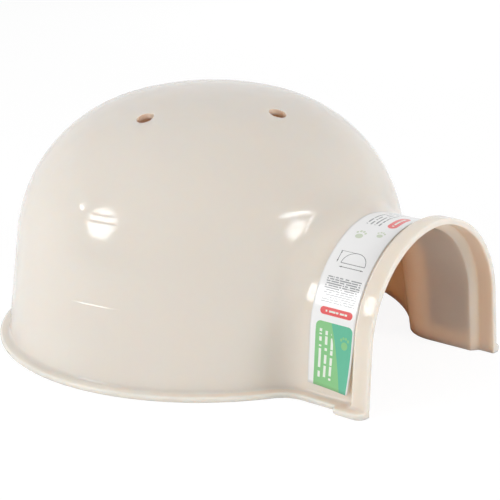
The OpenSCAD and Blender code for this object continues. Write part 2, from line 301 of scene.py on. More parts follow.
# %% Columns: which stretch a point is on, and how far out
class Columns:
    def __init__(self, rule, column, row):
        size = rule.size
        self.row, self.rule = row - 1.0, rule
        outer = column < SIDE - 0.5
        self.skin = outer * 2.0 - 1.0
        self.k = k = pick(outer, column, 2 * SIDE - 1 - column)
        ends = [DOME, DOME + BLEND, DOME + BLEND + RUN, DOME + BLEND + RUN + STEP + 1]
        self.on_dome, self.on_blend, self.before_fix, self.before_edge = [k < e - 0.5 for e in ends]
        self.u = u = pick(self.on_dome, k / DOME,
                          pick(self.on_blend, (k - ends[0]) / BLEND, (k - ends[1]) / RUN))
        step = clamped((k - ends[2]) / STEP)
        skin_o = (self.skin - 1.0) / 2.0 * rule.wall
        self.step_end = size["Band length"] + size["Step length"]
        step_q = self.step_end - step * size["Step length"]
        thicker = (self.skin + 1.0) / 2.0 * (size["Band wall"] - rule.wall)
        band_o = size["Band step"] + thicker
        step_o = band_o * smooth(step) + skin_o
        self.edge_turn = clamped((k - ends[3]) / EDGE) * (math.pi / 2)
        edge_r = size["Edge rounding"]
        edge_q = edge_r * (1.0 - sine(self.edge_turn))
        edge_o = band_o + skin_o - self.skin * edge_r * (1.0 - cosine(self.edge_turn))
        self.q = pick(self.before_edge, step_q, edge_q)
        self.o = pick(self.before_fix, skin_o, pick(self.before_edge, step_o, edge_o))
        self.share = pick(self.on_dome, 0.0, pick(self.on_blend, u, 1.0))

    def normal(self, s):
        return self.rule.blend_normal(self.rule.ball(s), s, self.share)

    def floor_place(self, z):
        rule = self.rule
        s = (z - rule.guide_foot) / cosine(rule.lean)
        for _ in range(3):
            lift = (rule.ball_r - self.o) * self.normal(s)[2]
            s = (z + lift - rule.guide_foot) / cosine(rule.lean)
        return s

    def on_dome_at(self, c, h):
        rule = self.rule
        turn = math.pi / 2 + self.u * (maths("ARCTAN2", c[1], c[0]) - math.pi / 2)
        z = h - (rule.ball_r - self.o) * sine(rule.dome_tilt(h, rule.ball_r))
        r = rule.dome_radius(z, self.o)
        return [r * cosine(turn), r * sine(turn), z]

    def point(self, s, c, h):
        rule, depth = self.rule, self.rule.ball_r - self.o
        n = rule.blend_normal(c, s, self.share)
        y = pick(self.before_fix,
                 c[1] + self.u * (self.step_end - rule.reach - c[1]), self.q - rule.reach)
        tunnel = [c[0] - depth * n[0], y, c[2] - depth * n[2]]
        blend = [c[i] - depth * n[i] for i in range(3)]
        return pick3(self.on_dome, self.on_dome_at(c, h), pick3(self.on_blend, blend, tunnel))

    def at_height(self, z):
        s = self.floor_place(z)
        c = self.rule.ball(s)
        return s, self.point(s, c, c[2])


print("columns ready")

# %% [markdown]
# The rows do the same upwards. The first ones go round the flange's section, with its
# rounded edge and the small fillet above it, and the others share out the wall's height.
# Where the mouth's inside has no flange, they simply climb.

# %% Rows: the flange's section, then the wall up to the crown
def risen(u):
    """How much of the way from the tunnel's crown to the cap ring a column climbs."""
    return 1.0 - maths("POWER", u, CAP_RING_FLATNESS)


def wall_point(cols):
    rule = cols.rule
    start, top = cols.at_height(cols.flange_top)
    climb = clamped((cols.row - FLANGE) / WALL_ROWS)
    s = start + (rule.guide_end - start) * climb
    c, low = rule.ball(s), rule.ball(start)[2]
    level = low + (rule.ring_h - low) * climb
    return top, cols.point(s, c, c[2] + risen(cols.u) * (level - c[2]))


def flange_foot(cols, foot):
    """How far the flange's edge stands from the wall's foot, in x and y."""
    size, rule = cols.rule.size, cols.rule
    out, slip = size["Flange reach"], size["Flange slip"]
    corner = least(size["Flange corner"], out)
    round_r = root(foot[0] * foot[0] + foot[1] * foot[1])
    n = cols.normal(cols.floor_s)
    flat = root(n[0] * n[0] + n[1] * n[1])
    band_r = size["Arch radius"] + size["Band wall"]
    side_x = (band_r + rule.arch_z * sine(rule.lean)) / cosine(rule.lean)
    edge = [side_x + out - corner + corner * cosine(cols.edge_turn),
            corner - corner * sine(cols.edge_turn) - rule.reach]
    outer = cols.skin > 0.0
    edge = pick3(outer, edge, foot[:2])
    run = [foot[0] + out, foot[1] + slip * pick(cols.before_fix, cols.u, 1.0)]
    blend = [foot[i] + out * n[i] / flat for i in (0, 1)]
    dome = [foot[i] + out * foot[i] / round_r for i in (0, 1)]
    tunnel = pick3(cols.before_edge, run, edge)
    return pick3(cols.on_dome, dome, pick3(cols.on_blend, blend, tunnel))


def flange_row(cols):
    """Share of the way out and height of the flange's section at this row."""
    size, rule = cols.rule.size, cols.rule
    edge_r, fillet = size["Flange rounding"], size["Flange fillet"]
    cols.flange_top = size["Flange thickness"] + size["Flange rise"] + fillet
    reach = size["Flange reach"] + cols.flange_top * maths("TANGENT", rule.draft)
    a = (clamped(cols.row / ROUND) - 0.5) * math.pi
    share = (reach - edge_r + edge_r * cosine(a)) / reach
    height = pick(a < 0.0, edge_r, size["Flange thickness"] - edge_r) + edge_r * sine(a)
    b = clamped((cols.row - ROUND - 1.0) / FILLET) * (math.pi / 2)
    on_round = cols.row < ROUND + 0.5
    share = pick(on_round, share, fillet * (1.0 - sine(b)) / reach)
    return share, pick(on_round, height, cols.flange_top - fillet * cosine(b))


def moulding_point(cols):
    share, height = flange_row(cols)
    cols.floor_s, foot = cols.at_height(0.0)
    top, wall = wall_point(cols)
    out = flange_foot(cols, foot)
    flange = [top[i] + share * (out[i] - top[i]) for i in (0, 1)] + [height]
    rise = clamped(cols.row / FLANGE)
    plain = [foot[i] + rise * (top[i] - foot[i]) for i in range(3)]
    flanged = maths("MAXIMUM", cols.skin > 0.0, 1.0 - cols.before_edge)
    low = pick3(flanged, flange, plain)
    return pick3(cols.row < FLANGE + 0.5, low, wall)


print("rows ready")

# %% [markdown]
# ## The tree of the moulding
# Three steps are left: set the grid's points by the sums, mirror that half, and close
# the dome with a cap of rings. The air holes are perforations that repeat round a
# ring, so the tree makes one cutter, sets it on a circle's points and takes all of
# them out in one cut, straight along the direction in which the mould opens.

# %% Small helpers for building trees
def new_tree(name, sizes):
    tree = bpy.data.node_groups.new(name, "GeometryNodeTree")
    tree.interface.new_socket("Geometry", in_out="INPUT", socket_type="NodeSocketGeometry")
    tree.interface.new_socket("Geometry", in_out="OUTPUT", socket_type="NodeSocketGeometry")
    entry, size = tree.nodes.new("NodeGroupInput"), {}
    for label, value in sizes.items():
        socket = tree.interface.new_socket(label, in_out="INPUT", socket_type="NodeSocketFloat")
        socket.default_value = value
        size[label] = Term(tree, entry.outputs[label])
    return tree, size


def add(tree, kind, links=None, **settings):
    node = tree.nodes.new(kind)
    for key, value in settings.items():
        setattr(node, key, value)
    for key, value in (links or {}).items():
        socket = node.inputs[key]
        if isinstance(value, Term):
            value = value.socket
        if isinstance(value, bpy.types.NodeSocket):
            tree.links.new(value, socket)
        else:
            socket.default_value = value
    return node


def place(tree, mesh, position, selection=None):
    """Moves the mesh's points to three sums, which are in millimetres from the dome's axis."""
    x, y, z = position
    vector = add(tree, "ShaderNodeCombineXYZ", {0: x * MM, 1: (y + axis_y) * MM, 2: z * MM})
    links = {"Geometry": mesh, "Position": vector.outputs[0]}
    if selection is not None:
        links["Selection"] = selection
    return add(tree, "GeometryNodeSetPosition", links).outputs[0]


def grid(tree, across, along):
    """A flat grid, with each point's column and row number."""
    flat = add(tree, "GeometryNodeMeshGrid", {
        "Size X": float(across - 1), "Size Y": float(along - 1),
        "Vertices X": across, "Vertices Y": along})
    index = Term(tree, add(tree, "GeometryNodeInputIndex").outputs[0])
    column = maths("FLOOR", (index + 0.5) / along)
    return flat.outputs["Mesh"], column, index - column * along


def joined(tree, parts):
    node = tree.nodes.new("GeometryNodeJoinGeometry")
    for part in reversed(parts):
        tree.links.new(part, node.inputs[0])
    return node.outputs[0]


print("tree helpers ready")

# %% Build the tree of the moulding
CUTTER_LONG, CUTTER_SIDES, WELD = 60 * MM, 64, 2e-6


def wall_half(tree, rule):
    mesh, column, row = grid(tree, 2 * SIDE, ROWS + 1)
    cols = Columns(rule, column, row)
    mesh = place(tree, mesh, moulding_point(cols))
    position = add(tree, "GeometryNodeInputPosition").outputs[0]
    sides = []
    for other in (column, 2 * SIDE - 1 - column):
        index = other * (ROWS + 1) + 1.0
        whole = add(tree, "FunctionNodeFloatToInt", {0: index}, rounding_mode="ROUND")
        sides.append(add(tree, "GeometryNodeFieldAtIndex",
                         {"Index": whole.outputs[0], "Value": position},
                         data_type="FLOAT_VECTOR", domain="POINT").outputs[0])
    both = add(tree, "ShaderNodeVectorMath", {0: sides[0], 1: sides[1]}, operation="ADD")
    middle = add(tree, "ShaderNodeVectorMath", {0: both.outputs[0], "Scale": 0.5},
                 operation="SCALE")
    seam = row < 0.5
    return add(tree, "GeometryNodeSetPosition", {"Geometry": mesh, "Selection": seam,
                                                "Position": middle.outputs[0]}).outputs[0]


def cap_skin(tree, rule, out, flip):
    mesh, column, row = grid(tree, 2 * DOME + 1, CAP + 1)
    a = math.pi / 2 - column * (math.pi / DOME)
    u = least(column, 2 * DOME - column) / DOME
    low = rule.dome_tilt(rule.crown_h + risen(u) * (rule.ring_h - rule.crown_h), rule.ball_r)
    tilt = low + (math.pi / 2 - low) * (row / CAP)
    r, z = rule.dome_at(tilt, out)
    r = pick(row > CAP - 0.5, 0.0, r)
    mesh = place(tree, mesh, [r * cosine(a), r * sine(a), z])
    if flip:
        mesh = add(tree, "GeometryNodeFlipFaces", {"Mesh": mesh}).outputs[0]
    return mesh


def drilled(tree, mesh, size, rule):
    """Sets one cutter on each point of a ring and takes them all out of the wall."""
    ring = add(tree, "GeometryNodeMeshCircle", {"Radius": size["Vent ring"] * MM})
    count = add(tree, "FunctionNodeFloatToInt", {0: size["Vent count"]}, rounding_mode="ROUND")
    tree.links.new(count.outputs[0], ring.inputs["Vertices"])
    middle = add(tree, "ShaderNodeCombineXYZ", {0: 0.0, 1: axis_y * MM,
                                                2: (rule.height - size["Vent diameter"]) * MM})
    ring = add(tree, "GeometryNodeTransform", {"Geometry": ring.outputs[0],
                                              "Translation": middle.outputs[0],
                                              "Rotation": (0.0, 0.0, -math.pi / 2)})
    cutter = add(tree, "GeometryNodeMeshCylinder", {
        "Vertices": CUTTER_SIDES, "Depth": CUTTER_LONG, "Radius": size["Vent diameter"] * (MM / 2)})
    cutters = add(tree, "GeometryNodeInstanceOnPoints", {"Points": ring.outputs[0],
                                                        "Instance": cutter.outputs["Mesh"]})
    solid = add(tree, "GeometryNodeRealizeInstances", {"Geometry": cutters.outputs[0]})
    cut = add(tree, "GeometryNodeMeshBoolean", {"Mesh 1": mesh},
              operation="DIFFERENCE", solver="MANIFOLD")
    tree.links.new(solid.outputs[0], cut.inputs["Mesh 2"])
    return cut.outputs["Mesh"]


def finish_tree(tree, mesh, material):
    real = add(tree, "GeometryNodeRealizeInstances", {"Geometry": mesh})
    done = add(tree, "GeometryNodeSetMaterial", {"Geometry": real.outputs[0], "Material": material})
    out = tree.nodes.new("NodeGroupOutput")
    tree.links.new(done.outputs[0], out.inputs[0])
    print(tree.name, "has", len(tree.nodes), "nodes")


def moulding_tree(material):
    tree, size = new_tree("moulding from its sizes", SIZES)
    rule = Rule(tree, size)
    half = wall_half(tree, rule)
    mirror = add(tree, "GeometryNodeTransform", {"Geometry": half, "Scale": (-1.0, 1.0, 1.0)})
    half = add(tree, "GeometryNodeFlipFaces", {"Mesh": half})
    parts = [half.outputs[0], mirror.outputs[0], cap_skin(tree, rule, 0.0, True),
             cap_skin(tree, rule, -rule.wall, False)]
    whole = add(tree, "GeometryNodeMergeByDistance", {"Geometry": joined(tree, parts),
                                                     "Distance": WELD})
    mesh = drilled(tree, whole.outputs[0], size, rule)
    finish_tree(tree, mesh, material)
    return tree


print("moulding tree ready")

# %% [markdown]
# ## The plastic
# The real shell is a glossy cream polypropylene. Such plastic is never one flat colour:
# the melt leaves faint clouds, handling leaves fine scratches, and the parts of the
# mould leave hairlines where they meet. They show only where a lamp is mirrored: two
# rough rings inside the bright spot, whose darker colour is painted shade where the
# highlight breaks, and a fine ledge below it. Some light sinks into the plastic and
# comes out of the other skin, which warms the inside. The skin that faces the room and
# the air holes also get a painted warm glow in their base colour: painted light for the
# light that comes through the walls and bounces inside. All of it is computed from the
# place on the object, so nothing slides when the camera moves.

# %% Helpers for materials
def new_material(name):
    material = bpy.data.materials.new(name)
    material.use_nodes = True
    tree = material.node_tree
    tree.nodes.clear()
    skin = tree.nodes.new("ShaderNodeBsdfPrincipled")
    out = tree.nodes.new("ShaderNodeOutputMaterial")
    tree.links.new(skin.outputs[0], out.inputs["Surface"])
    return material, tree, skin


def noise(tree, vector, scale, detail):
    node = add(tree, "ShaderNodeTexNoise", {"Vector": vector, "Scale": scale, "Detail": detail})
    return Term(tree, node.outputs[0])


def split(tree, vector):
    """The three numbers of a vector."""
    return [Term(tree, socket) for socket in
            add(tree, "ShaderNodeSeparateXYZ", {0: vector}).outputs]


def stretched(tree, vector, scale, turn=(0.0, 0.0, 0.0)):
    return add(tree, "ShaderNodeMapping",
               {"Vector": vector, "Scale": scale, "Rotation": turn}).outputs[0]


def between(tree, factor, low, high):
    """A colour between two others, by a number from 0 to 1."""
    node = add(tree, "ShaderNodeMix", data_type="RGBA")
    tree.links.new(factor.socket, node.inputs[0])
    for socket, colour in ((node.inputs[6], low), (node.inputs[7], high)):
        if isinstance(colour, bpy.types.NodeSocket):
            tree.links.new(colour, socket)
        else:
            socket.default_value = (*colour, 1.0)
    return node.outputs[2]


def bumped(tree, skin, height):
    """Tilts the skin by a height in millimetres."""
    bump = add(tree, "ShaderNodeBump", {"Height": height * MM, "Distance": 1.0, "Strength": 1.0})
    tree.links.new(bump.outputs[0], skin.inputs["Normal"])


print("material helpers ready")

# %% The cream plastic
# The third colour is the real specks' colour and also the rings' painted shade.
LIGHT_CREAM, CREAM, SPECKS_AND_RING_SHADE = (0.81, 0.738, 0.665), (0.785, 0.708, 0.63), (0.55, 0.45, 0.36)
# Painted light: a warm glow for the inside skin and for the air holes' walls, standing for light
# that comes through the plastic and bounces inside.
PAINTED_INSIDE_GLOW, PAINTED_HOLE_GLOW = (0.88, 0.66, 0.53), (0.82, 0.50, 0.34)
ROOM_MIDDLE, HOLE_ZONE, HOLES_ABOVE = 35.0, 7.5, 120.0
MARK_WAY = (-0.99, -0.14)
LEDGE_TOP, LEDGE_LONG, LEDGE_OUT = 52.7, 0.8, 0.3


def ring_mark(z, height, width):
    """1 on a hairline ring at a height, in millimetres, and 0 away from it."""
    away = (z - height) / width
    return maths("EXPONENT", -(away * away))


def inside_shares(x, y, z, facing):
    """Two masks of the painted warm glow: 1 where the skin faces the room's middle, 1 in the air
    holes.
    """
    back, up = most(y, 0.0), z - ROOM_MIDDLE
    far = root(x * x + back * back + up * up)
    outward = (x * facing[0] + back * facing[1] + up * facing[2]) / far
    near_hole = maths("COMPARE", root(x * x + y * y), SIZES["Vent ring"], HOLE_ZONE)
    hole_glow_share = near_hole * (z > HOLES_ABOVE) * clamped((0.7 - outward) / 0.3)
    return clamped((-outward - 0.05) / 0.3), hole_glow_share


def mould_marks(x, y, z):
    """The two rings and the ledge, faded out to both sides of the mirrored lamp."""
    turned = (x * MARK_WAY[0] + y * MARK_WAY[1]) / root(x * x + y * y)
    rings_and_shade = ring_mark(z, 102.15, 0.6) + ring_mark(z, 106.05, 0.5) * 0.8
    ledge = clamped((LEDGE_TOP - z) / LEDGE_LONG)
    return rings_and_shade * clamped((turned - 0.9945) / 0.003), ledge * clamped((turned - 0.989) / 0.007)


def scratches(tree, place_on):
    """Fine scratches that run two ways."""
    both = []
    for scale, turn, edge in (((900.0, 60.0, 60.0), (0.3, 0.9, 0.4), 0.62),
                              ((50.0, 50.0, 1100.0), (0.7, 0.2, 1.1), 0.64)):
        line = noise(tree, stretched(tree, place_on, scale, turn), 1.0, 2.0)
        both.append(clamped((line - edge) * 4.0))
    return both[0] + both[1]


def cream_plastic():
    material, tree, skin = new_material("cream plastic")
    known = tree.nodes.new("ShaderNodeTexCoord")
    place_on = known.outputs["Object"]
    x, y, z = [part * 1000.0 for part in split(tree, place_on)]
    y = y - axis_y
    inside, hole_glow_share = inside_shares(x, y, z, split(tree, known.outputs["Normal"]))
    # Painted light: the inside skin's share of the painted warm glow, stronger further from the
    # mouth.
    inside_glow = inside * (0.6 + 0.4 * clamped((y + SIZES["Mouth reach"]) / 90.0))
    rings_and_shade, ledge = mould_marks(x, y, z)
    clouds = noise(tree, place_on, 9.0, 3.0)
    streaks = noise(tree, stretched(tree, place_on, (30.0, 30.0, 4.0)), 1.0, 3.0)
    tone = clamped(0.5 + (clouds - 0.5) * 1.1 + (streaks - 0.5) * 0.5)
    speck = noise(tree, place_on, 900.0, 1.0) > 0.86
    colour = between(tree, tone, CREAM, LIGHT_CREAM)
    # The specks are real; on the rings the darker colour is painted shade, where the mirrored
    # lamp's highlight breaks.
    colour = between(tree, clamped(speck * 0.25 + rings_and_shade * 0.25), colour, SPECKS_AND_RING_SHADE)
    # Painted light: the inside skin takes the painted warm glow into its base colour.
    colour = between(tree, inside_glow, colour, PAINTED_INSIDE_GLOW)
    # Painted light: the air holes' walls get half of a painted warm glow in their base colour.
    colour = between(tree, hole_glow_share * 0.5, colour, PAINTED_HOLE_GLOW)
    tree.links.new(colour, skin.inputs["Base Color"])
    scuffs = scratches(tree, place_on)
    rough = 0.10 + (clouds - 0.5) * 0.06 + scuffs * 0.10 + rings_and_shade * 0.85
    tree.links.new(rough.socket, skin.inputs["Roughness"])
    peel = noise(tree, place_on, 260.0, 2.0) * 0.012
    wave = noise(tree, place_on, 22.0, 1.0) * 0.10
    bumped(tree, skin, peel + wave - scuffs * 0.004 - rings_and_shade * 0.008 + ledge * LEDGE_OUT)
    skin.inputs["IOR"].default_value = 1.49
    skin.inputs["Subsurface Weight"].default_value = 1.0
    skin.inputs["Subsurface Radius"].default_value = (1.0, 0.80, 0.65)
    skin.inputs["Subsurface Scale"].default_value = 9.0 * MM
    return material


cream = cream_plastic()
print("cream plastic has", len(cream.node_tree.nodes), "nodes")

# %% [markdown]
# ## The moulding
# The tree runs once on an empty mesh, and the plain mesh that comes out is kept, so the
# piece holds real faces. The surface is smooth all over, apart from the rims of the air
# holes, which a small bevel rounds the way a moulded rim is rounded.

# %% Make the moulding
def made_by(tree, name, sizes):
    """Runs a tree on an empty mesh and keeps the plain mesh that comes out."""
    piece = bpy.data.objects.new(name, bpy.data.meshes.new(name))
    scene.collection.objects.link(piece)
    run = piece.modifiers.new("tree", "NODES")
    run.node_group = tree
    for socket in tree.interface.items_tree:
        if socket.in_out == "INPUT" and socket.name in sizes:
            run[socket.identifier] = sizes[socket.name]
    done = piece.evaluated_get(bpy.context.evaluated_depsgraph_get())
    mesh = bpy.data.meshes.new_from_object(done)
    piece.modifiers.remove(run)
    piece.data = mesh
    mesh.name = name
    mesh.shade_smooth()
    print(name, "has", len(mesh.vertices), "points and", len(mesh.polygons), "faces")
    return piece


SHARP, RIM_ROUNDING = math.radians(45), 0.35 * MM
moulding = made_by(moulding_tree(cream), "moulding", SIZES)
moulding.data.set_sharp_from_angle(angle=SHARP)
rim = moulding.modifiers.new("rim", "BEVEL")
rim.width, rim.segments, rim.harden_normals = RIM_ROUNDING, 2, True
rim.limit_method, rim.angle_limit = "ANGLE", SHARP
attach(moulding, "root")
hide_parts("shell")

# %% [markdown]
# ## The paper strip
# The strip is cut from flat paper and laid over the tunnel, so it follows the tunnel and
# a little of the rolled corner. The same sums place it, a hair off the wall. Its lower
# front corner has come off on one side. The print needs places along and across the
# paper, so the tree also writes a UV map: along the strip, and across it.

# %% The strip's tree
STRIP = {
    "Strip width": 33.0, "Strip thickness": 0.25, "Strip gap": 0.3, "Strip margin": -0.6,
    "Strip bow": 3.0, "Strip end height": 10.5, "Corner lift": 4.5, "Lift height": 44.0,
}
STRIP_ROWS, STRIP_COLS = 60, 24


def strip_point(rule, s, q, o):
    """The place on the tunnel or the corner behind it, at a distance q from the mouth."""
    c = rule.ball(s)
    touch = q - rule.reach
    over = touch - c[1]
    a, b, width = rule.corner(c, s)
    turn = clamped(1.0 - over / (rule.ball_r * width))
    n, depth = rule.blend_normal(c, s, turn), rule.ball_r - o
    flat = [c[0] - depth * b[0], touch, c[2] - depth * b[2]]
    bent = [c[i] - depth * n[i] for i in range(3)]
    return pick3(over < 0.0, flat, bent)


def strip_tree(material):
    tree, size = new_tree("paper strip from its sizes", {**SIZES, **STRIP})
    rule = Rule(tree, size)
    mesh, column, row = grid(tree, STRIP_COLS + 1, 2 * STRIP_ROWS + 1)
    cols = Columns(rule, 0.0 * column + float(DOME + BLEND + 2), row)
    foot = cols.floor_place(size["Strip end height"])
    near = row > STRIP_ROWS + 0.5
    k = least(row, 2 * STRIP_ROWS - row) / STRIP_ROWS
    s, u = foot + (rule.guide_end - foot) * k, column / STRIP_COLS
    front = size["Band length"] + size["Step length"] + size["Strip margin"]
    base = strip_point(rule, s, front, 0.0)
    top, end = size["Lift height"], size["Strip end height"]
    low = clamped((top - most(base[2], end)) / (top - end))
    lift = size["Corner lift"] * maths("POWER", low, 1.5) * maths("POWER", 1.0 - u, 1.5) * near
    o = size["Strip gap"] + size["Strip thickness"] + lift
    bow = size["Strip bow"] * maths("POWER", most(s, 0.0) / rule.guide_end, 2.0)
    p = strip_point(rule, s, front + bow + u * size["Strip width"], o)
    mesh = place(tree, mesh, [p[0] * (1.0 - 2.0 * near), p[1], p[2]])
    chart = add(tree, "ShaderNodeCombineXYZ", {0: row / (2 * STRIP_ROWS), 1: u, 2: 0.0})
    chart = add(tree, "GeometryNodeFieldOnDomain", {"Value": chart.outputs[0]},
                data_type="FLOAT_VECTOR", domain="POINT").outputs[0]
    mesh = add(tree, "GeometryNodeStoreNamedAttribute",
               {"Geometry": mesh, "Name": "print", "Value": chart},
               data_type="FLOAT2", domain="CORNER").outputs[0]
    finish_tree(tree, mesh, material)
    return tree


print("strip tree ready")

# %% [markdown]
# ## The print
# A paper strip like this carries a coloured panel, small print, a bar of colour and a
# size diagram. Here all of it is plain and general: blocks, rules, a paw and a domed
# house with its two arrows. Each shape is one sum over the two distances in
# millimetres, so its edges stay sharp at any size and no picture is needed. A clear
# film lies over the print: it is a coat on the shader, smoother than the paper below.

# %% Shapes as sums over the paper
def band(v, low, high):
    return (v > low) * (v < high)


def block(a, v, box):
    return band(a, box[0], box[1]) * band(v, box[2], box[3])


def distance(a, b):
    return root(a * a + b * b)


def size_of(a):
    return maths("ABSOLUTE", a)


def rounded(a, v, box, corner):
    """A block with round corners: first, last along, first, last across."""
    half_a, half_v = (box[1] - box[0]) / 2 - corner, (box[3] - box[2]) / 2 - corner
    far_a = most(size_of(a - (box[0] + box[1]) / 2) - half_a, 0.0)
    far_v = most(size_of(v - (box[2] + box[3]) / 2) - half_v, 0.0)
    return distance(far_a, far_v) < corner


def spot(a, v, centre, radii):
    return distance((a - centre[0]) / radii[0], (v - centre[1]) / radii[1]) < 1.0


def stroke(a, v, start, end, width):
    """A straight line with round ends."""
    da, dv = end[0] - start[0], end[1] - start[1]
    share = clamped(((a - start[0]) * da + (v - start[1]) * dv) / (da * da + dv * dv))
    return distance(a - start[0] - share * da, v - start[1] - share * dv) < width / 2


def arrow(a, v, start, end, width, head):
    """A line with a wedge at each end, as on a drawing with sizes."""
    da, dv = end[0] - start[0], end[1] - start[1]
    length = math.hypot(da, dv)
    along = ((a - start[0]) * da + (v - start[1]) * dv) / length
    aside = size_of((v - start[1]) * da - (a - start[0]) * dv) / length
    near = least(along, length - along)
    wedge = (aside < near * 0.32) * band(near, 0.0, head)
    return most(wedge, (aside < width / 2) * (near > 0.0))


def paw(a, v, centre, size):
    ca, cv = centre
    pad = spot(a, v, (ca, cv), (0.42 * size, 0.5 * size))
    for da, dv in ((0.62, -0.55), (0.88, -0.2), (0.88, 0.2), (0.62, 0.55)):
        pad = most(pad, spot(a, v, (ca + da * size, cv + dv * size), (0.2 * size, 0.16 * size)))
    return pad


def rules(tree, a, v, box, pitch, share, words):
    """Lines of small print, broken into words that nobody can read."""
    line = maths("FLOOR", (v - box[2]) / pitch)
    across = (v - box[2]) / pitch - line
    spot_on = add(tree, "ShaderNodeCombineXYZ", {0: a * words, 1: line * 7.3, 2: 0.0})
    word = noise(tree, spot_on.outputs[0], 1.0, 1.0) > 0.43
    return block(a, v, box) * band(across, 0.5 - share / 2, 0.5 + share / 2) * word


print("print shapes ready")

# %% The printed paper
STRIP_LONG, STRIP_WIDE = 251.5, STRIP["Strip width"]


def printed_paper():
    material, tree, skin = new_material("printed paper")
    chart = add(tree, "ShaderNodeUVMap", uv_map="print").outputs[0]
    along, across, _ = split(tree, chart)
    inks = printed_inks(tree, (1.0 - along) * STRIP_LONG, across * STRIP_WIDE)
    place_on = tree.nodes.new("ShaderNodeTexCoord").outputs["Object"]
    clouds = noise(tree, place_on, 60.0, 3.0)
    colour = between(tree, clouds, (0.86, 0.86, 0.86), (0.90, 0.90, 0.90))
    for mask, ink in inks:
        colour = between(tree, mask, colour, ink)
    tree.links.new(colour, skin.inputs["Base Color"])
    fibre = noise(tree, place_on, 1400.0, 2.0)
    ripple = noise(tree, place_on, 90.0, 1.0)
    tree.links.new((0.45 + (clouds - 0.5) * 0.1).socket, skin.inputs["Roughness"])
    bumped(tree, skin, fibre * 0.004 + ripple * 0.03)
    skin.inputs["IOR"].default_value = 1.5
    skin.inputs["Coat Weight"].default_value = 1.0
    skin.inputs["Coat Roughness"].default_value = 0.14
    return material


def printed_inks(tree, a, v):
    """Each shape of the print with its ink, from the lowest layer to the highest."""
    leaf, sea, red = (0.22, 0.56, 0.22), (0.09, 0.48, 0.30), (0.78, 0.075, 0.075)
    pale, white = (0.60, 0.66, 0.52), (0.80, 0.86, 0.78)
    grey, dark = (0.25, 0.26, 0.27), (0.09, 0.09, 0.095)
    other = STRIP_LONG - a
    foot = least(a, other)
    panel = rounded(foot, v, (-6.0, 34.0, 1.3, 28.6), 3.5)
    slope = v - 7.0 - foot * 0.30
    inks = [(panel, leaf), (panel * (slope < 0.0), sea)]
    words = rules(tree, foot, v, (4.0, 29.0, 13.6, 26.6), 4.4, 0.42, 0.42)
    inks += [(words * (slope > 1.5), white), (paw(foot, v, (22.0, 6.6), 4.6), leaf)]
    in_bar = rules(tree, v, foot, (7.0, 23.0, 40.2, 41.8), 1.6, 0.9, 0.5)
    inks += [(rounded(foot, v, (38.5, 43.5, 3.0, 27.0), 2.49), red),
             (band(foot, 40.4, 41.6) * in_bar, white)]
    inks += [(rules(tree, v, foot, (3.0, 28.0, 46.0, 64.0), 1.5, 0.5, 0.55), grey)]
    inks += [(mark, dark) for mark in size_diagram(foot, v)]
    inks += [(paw(foot, v, (97.5, 22.5), 5.4), pale), (paw(foot, v, (101.5, 9.5), 4.2), pale)]
    inks += [(rounded(a, v, (112.0, 133.0, 4.5, 11.5), 3.49), red),
             (rules(tree, a, v, (115.0, 130.0, 6.6, 9.4), 2.8, 0.5, 0.5), white),
             (rules(tree, a, v, (112.0, 150.0, 15.0, 27.0), 3.0, 0.4, 0.4), grey)]
    return inks


def size_diagram(a, v):
    """A domed house in outline, with one arrow for its length and one for its height."""
    ring = distance(a - 74.0, v - 14.5)
    dome = band(ring, 8.6, 9.0) * (a > 74.0)
    return [dome, stroke(a, v, (74.0, 5.7), (74.0, 23.3), 0.4),
            arrow(a, v, (71.2, 5.7), (71.2, 23.3), 0.4, 1.8),
            arrow(a, v, (74.0, 26.4), (82.8, 26.4), 0.4, 1.8),
            stroke(a, v, (82.8, 15.5), (82.8, 27.4), 0.25)]


print("printed paper ready")

# %% Make the strip
def plain_paper():
    material, tree, skin = new_material("bare paper")
    place_on = tree.nodes.new("ShaderNodeTexCoord").outputs["Object"]
    fibre = noise(tree, place_on, 1400.0, 3.0)
    colour = between(tree, fibre, (0.78, 0.78, 0.76), (0.85, 0.85, 0.84))
    tree.links.new(colour, skin.inputs["Base Color"])
    tree.links.new((0.7 + fibre * 0.15).socket, skin.inputs["Roughness"])
    bumped(tree, skin, fibre * 0.01)
    return material


strip = made_by(strip_tree(printed_paper()), "paper_strip", {**SIZES, **STRIP})
strip.data.materials.append(plain_paper())
paper = strip.modifiers.new("paper thickness", "SOLIDIFY")
paper.thickness, paper.offset = STRIP["Strip thickness"] * MM, -1.0
paper.material_offset = paper.material_offset_rim = 1
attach(strip, "root")
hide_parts("label")

# %% [markdown]
# ## The studio
# The house stands on a pale floor in soft light. The camera and the gloss see floor and
# room as white, the way such a photo is lit, and the floor keeps a light shadow. Under
# the house the gloss sees the real floor. The light itself is weaker on the camera's
# side than on the others, so the valley between dome and tunnel stays easy to read.

# %% Floor and surroundings
WHITE = (1.0, 1.0, 1.0, 1.0)
FLOOR_HALF, FLOOR_DROP = 6.0, 0.0002
HOUSE_RADIUS, HOUSE_FADE = 0.15, 0.03
SIDE_LIGHT, FRONT_LIGHT = 0.45, 0.25
DIM_SIDE = (-0.725, -0.618, 0.306)


def looked_at(tree, look):
    """1 for rays of that kind, and 0 for all other light."""
    return Term(tree, tree.nodes.new("ShaderNodeLightPath").outputs[look])


def mixed(tree, share, plain, white, output):
    """Two shaders by a share from 0 to 1, on the tree's output node."""
    mix = tree.nodes.new("ShaderNodeMixShader")
    for value, socket in zip((share.socket, plain.outputs[0], white.outputs[0]), mix.inputs):
        tree.links.new(value, socket)
    tree.links.new(mix.outputs[0], tree.nodes.new(output).inputs["Surface"])


